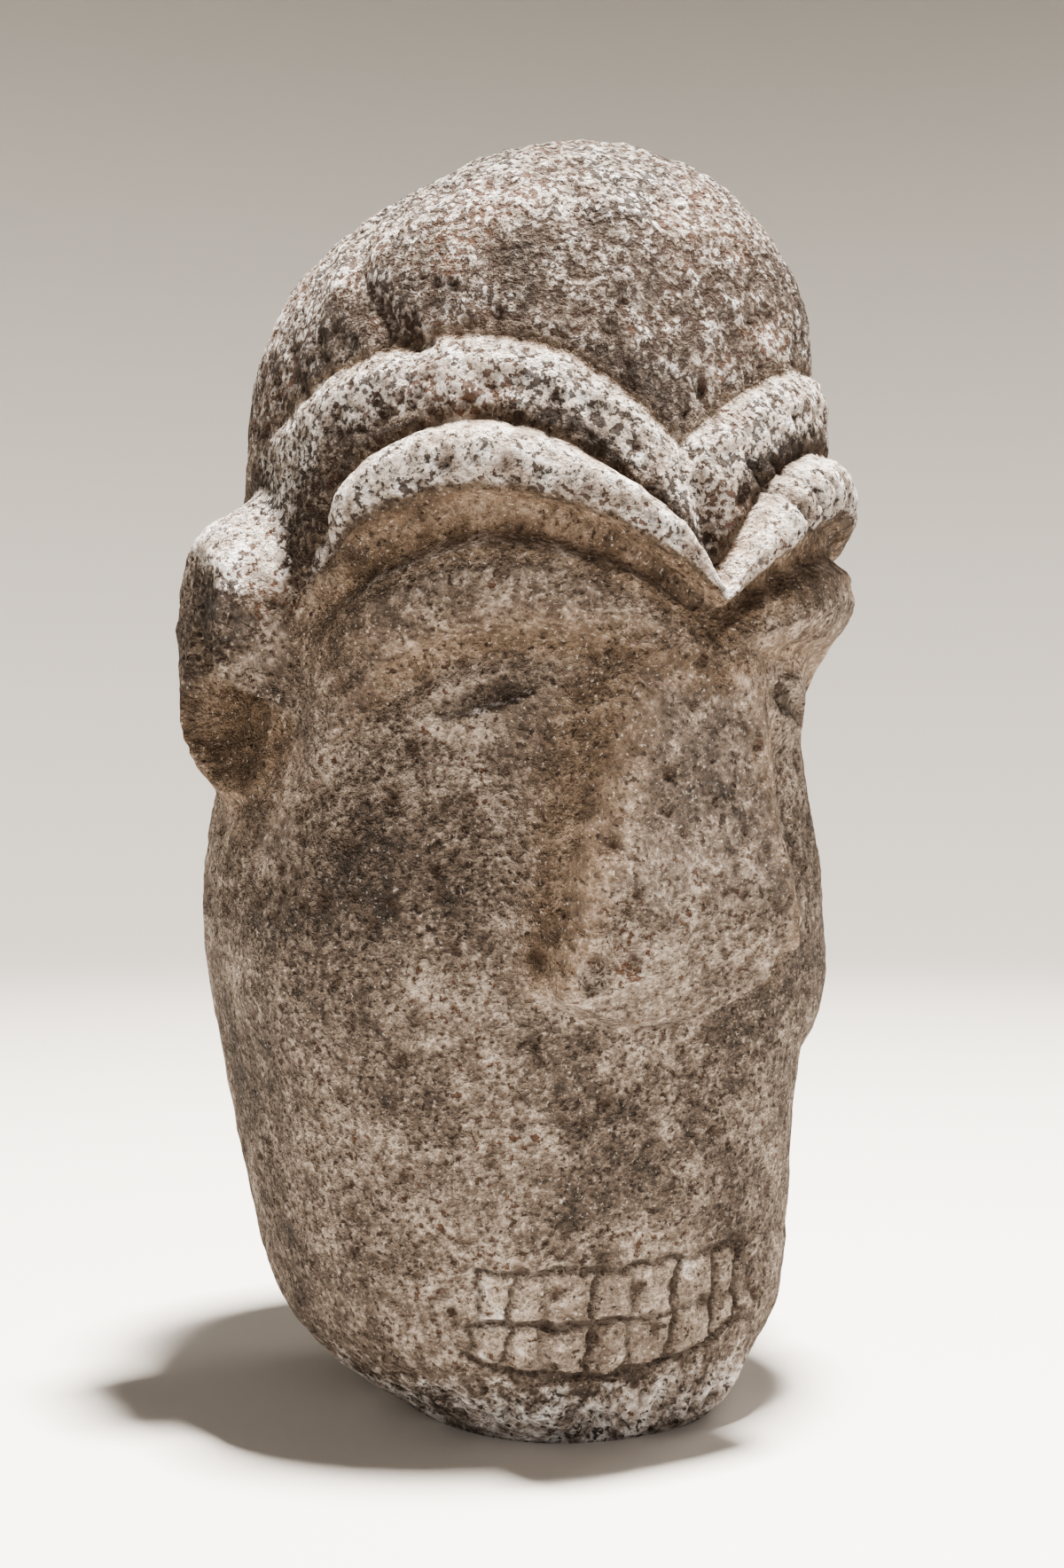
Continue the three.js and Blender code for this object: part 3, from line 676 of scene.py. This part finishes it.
# Noise scales are grains to a metre: clouds of 42 mm, mottling of 8 mm, pores of 2.5 mm, grit of
# 2 mm and specks of 1.4 mm.
place = add("TexCoord").outputs["Object"]
clouds = add("TexNoise", Vector=place, Scale=24.0, Detail=5.0, Roughness=0.6).outputs["Fac"]
pores = add("TexNoise", Vector=place, Scale=400.0, Detail=4.0, Roughness=0.62).outputs["Fac"]
mottle = add("TexNoise", Vector=place, Scale=120.0, Detail=6.0, Roughness=0.62).outputs["Fac"]
grit = add("TexNoise", Vector=place, Scale=460.0, Detail=3.0, Roughness=0.6).outputs["Fac"]
specks = add("TexNoise", Vector=place, Scale=700.0, Detail=4.0, Roughness=0.7).outputs["Fac"]
openness = attribute("open")

# Open grain: crisp holes of 1 to 2 mm, close together on the dome and rolls, few on the face.
rim = calc("ADD", calc("MULTIPLY", openness, 0.135), 0.375)
rim = calc("ADD", rim, calc("MULTIPLY", calc("SUBTRACT", mottle, 0.5), 0.25))
holes = calc("MULTIPLY", calc("SUBTRACT", rim, pores), 30.0, True)
sunk = calc("MULTIPLY", calc("SUBTRACT", calc("ADD", rim, 0.06), pores), 8.0, True)

# Body: grey-brown patches on pale beige; under dust and painted highlight, chalky white with grey
# grains.
patches = calc("ADD", calc("MULTIPLY", clouds, 0.5), calc("MULTIPLY", mottle, 0.5))
grains = calc("ADD", calc("MULTIPLY", patches, 0.72), calc("MULTIPLY", grit, 0.28))
calm = calc("MULTIPLY", calc("SUBTRACT", 1.0, attribute("smooth")), 0.35)
grains = calc("ADD", calc("MULTIPLY", calc("SUBTRACT", grains, 0.5), calc("ADD", calm, 0.65)), 0.5)
grains = calc("ADD", grains, calc("MULTIPLY", attribute("smooth"), 0.035))
body = ramp(
    grains,
    (0.40, "#3D3630"),
    (0.45, "#554B43"),
    (0.49, "#695D53"),
    (0.53, "#807469"),
    (0.58, "#A89C90"),
)
bright = ramp(mottle, (0.34, "#A29388"), (0.44, "#C6BAB0"), (0.54, "#E6DED7"), (0.64, "#FCFAF8"))
wear = calc("MULTIPLY", calc("SUBTRACT", patches, 0.5), 5.0)
wear = calc("ADD", wear, calc("MULTIPLY", calc("SUBTRACT", grit, 0.5), 1.6))
dust_and_highlight_share = calc("MULTIPLY", calc("SUBTRACT", attribute("dust_and_highlight"), 0.5), 2.4)
dust_and_highlight_share = calc("ADD", dust_and_highlight_share, calc("ADD", wear, 0.5), True)
colour = blend(dust_and_highlight_share, body, bright)

# Painted warm-brown shade in the hollows, dark and pale specks, then painted shade in holes, pits
# and cut lines.
shade_brown = ramp(patches, (0.40, "#46382C"), (0.5, "#635241"), (0.60, "#836E5B"))
colour = blend(calc("MULTIPLY", attribute("painted_shade"), 0.8, True), colour, shade_brown)
dark_speck = ramp(specks, (0.38, "#FFFFFF"), (0.43, "#000000"))
colour = blend(calc("MULTIPLY", dark_speck, 0.6), colour, hex_colour("#433830"))
pale_speck = ramp(specks, (0.60, "#000000"), (0.65, "#FFFFFF"))
colour = blend(calc("MULTIPLY", pale_speck, 0.4), colour, hex_colour("#E2D9D0"))
# Painted shade in the holes of the grain.
hole_shade_colour = ramp(clouds, (0.40, "#2A1F18"), (0.52, "#3A2A20"), (0.62, "#5A3C2A"))
colour = blend(calc("MULTIPLY", holes, 0.9), colour, hole_shade_colour)
# Painted shade in the pecked pits.
colour = blend(calc("MULTIPLY", attribute("pit"), 0.75, True), colour, hex_colour("#3E3026"))
# Painted shade along the cut lines of the mouth, the eye slits and the slashes.
colour = blend(calc("MULTIPLY", attribute("cut"), 0.85, True), colour, hex_colour("#3F362F"))
links.new(colour, shader.inputs["Base Color"])

# Relief of up to a few millimetres, strongest where the grain is open.
rise = calc("SUBTRACT", calc("MULTIPLY", mottle, 1.6), calc("MULTIPLY", sunk, 0.30))
rise = calc("ADD", rise, calc("MULTIPLY", grit, 0.8))
rise = calc("MULTIPLY", rise, calc("ADD", calc("MULTIPLY", openness, 0.72), 0.28))
bump = add("Bump", Strength=1.0, Distance=0.014, Height=rise)
links.new(bump.outputs["Normal"], shader.inputs["Normal"])
shader.inputs["Roughness"].default_value = 0.93
shader.inputs["Specular IOR Level"].default_value = 0.25
head.data.materials.append(stone)

# Floor, light and camera
# A plain pale floor that sweeps up far behind, one soft light high above, a weaker one in
# front, a touch from behind on the right, and the camera where the photographer stood.

FLAT_FLOOR = 2.0  # metres from the head at which the floor begins to rise

bpy.ops.mesh.primitive_grid_add(x_subdivisions=120, y_subdivisions=120, size=16)
floor = bpy.context.object
floor.name = "floor"
for vertex in floor.data.vertices:
    vertex.co.z = 0.35 * max(vertex.co.xy.length - FLAT_FLOOR, 0.0) ** 2
bpy.ops.object.shade_smooth()
paper = bpy.data.materials.new("pale_paper")
paper.use_nodes = True
paper_shader = paper.node_tree.nodes["Principled BSDF"]
paper_shader.inputs["Base Color"].default_value = hex_colour("#DEDBD6")
paper_shader.inputs["Roughness"].default_value = 0.9
floor.data.materials.append(paper)


def soft_light(name, place, aim, size, watts, tint):
    data = bpy.data.lights.new(name, "AREA")
    data.size = size
    data.energy = watts
    data.color = hex_colour(tint)[:3]
    light = bpy.data.objects.new(name, data)
    light.location = place
    light.rotation_euler = (Vector(aim) - Vector(place)).to_track_quat("-Z", "Y").to_euler()
    bpy.context.collection.objects.link(light)


soft_light("key", (0.05, -0.30, 2.1), (0, 0, 0.3), 0.22, 270, "#FFF8F0")
soft_light("fill", (-0.35, -2.0, 0.30), (0, 0, 0.2), 1.0, 10, "#F6F4FF")
soft_light("rim", (1.4, 0.2, 1.3), (0, 0, 0.25), 0.7, 6, "#FFF8F0")

world = bpy.data.worlds.new("room")
world.use_nodes = True
background = world.node_tree.nodes["Background"]
background.inputs["Color"].default_value = hex_colour("#D8D2CA")
background.inputs["Strength"].default_value = 0.13
bpy.context.scene.world = world

# The camera looks level from 30 degrees to the left of the face.
CAMERA_TURN = math.radians(-30)
CAMERA_AWAY, CAMERA_ASIDE, CAMERA_UP = 0.787, 0.003, 0.2225
lens = bpy.data.cameras.new("camera")
lens.lens = 50
lens.sensor_width = 36
camera = bpy.data.objects.new("camera", lens)
forward = Vector((-math.sin(CAMERA_TURN), math.cos(CAMERA_TURN), 0))
right = Vector((math.cos(CAMERA_TURN), math.sin(CAMERA_TURN), 0))
camera.location = -forward * CAMERA_AWAY + right * CAMERA_ASIDE + Vector((0, 0, CAMERA_UP))
camera.rotation_euler = forward.to_track_quat("-Z", "Y").to_euler()
bpy.context.collection.objects.link(camera)
bpy.context.scene.camera = camera
bpy.context.scene.view_settings.look = "AgX - Medium High Contrast"
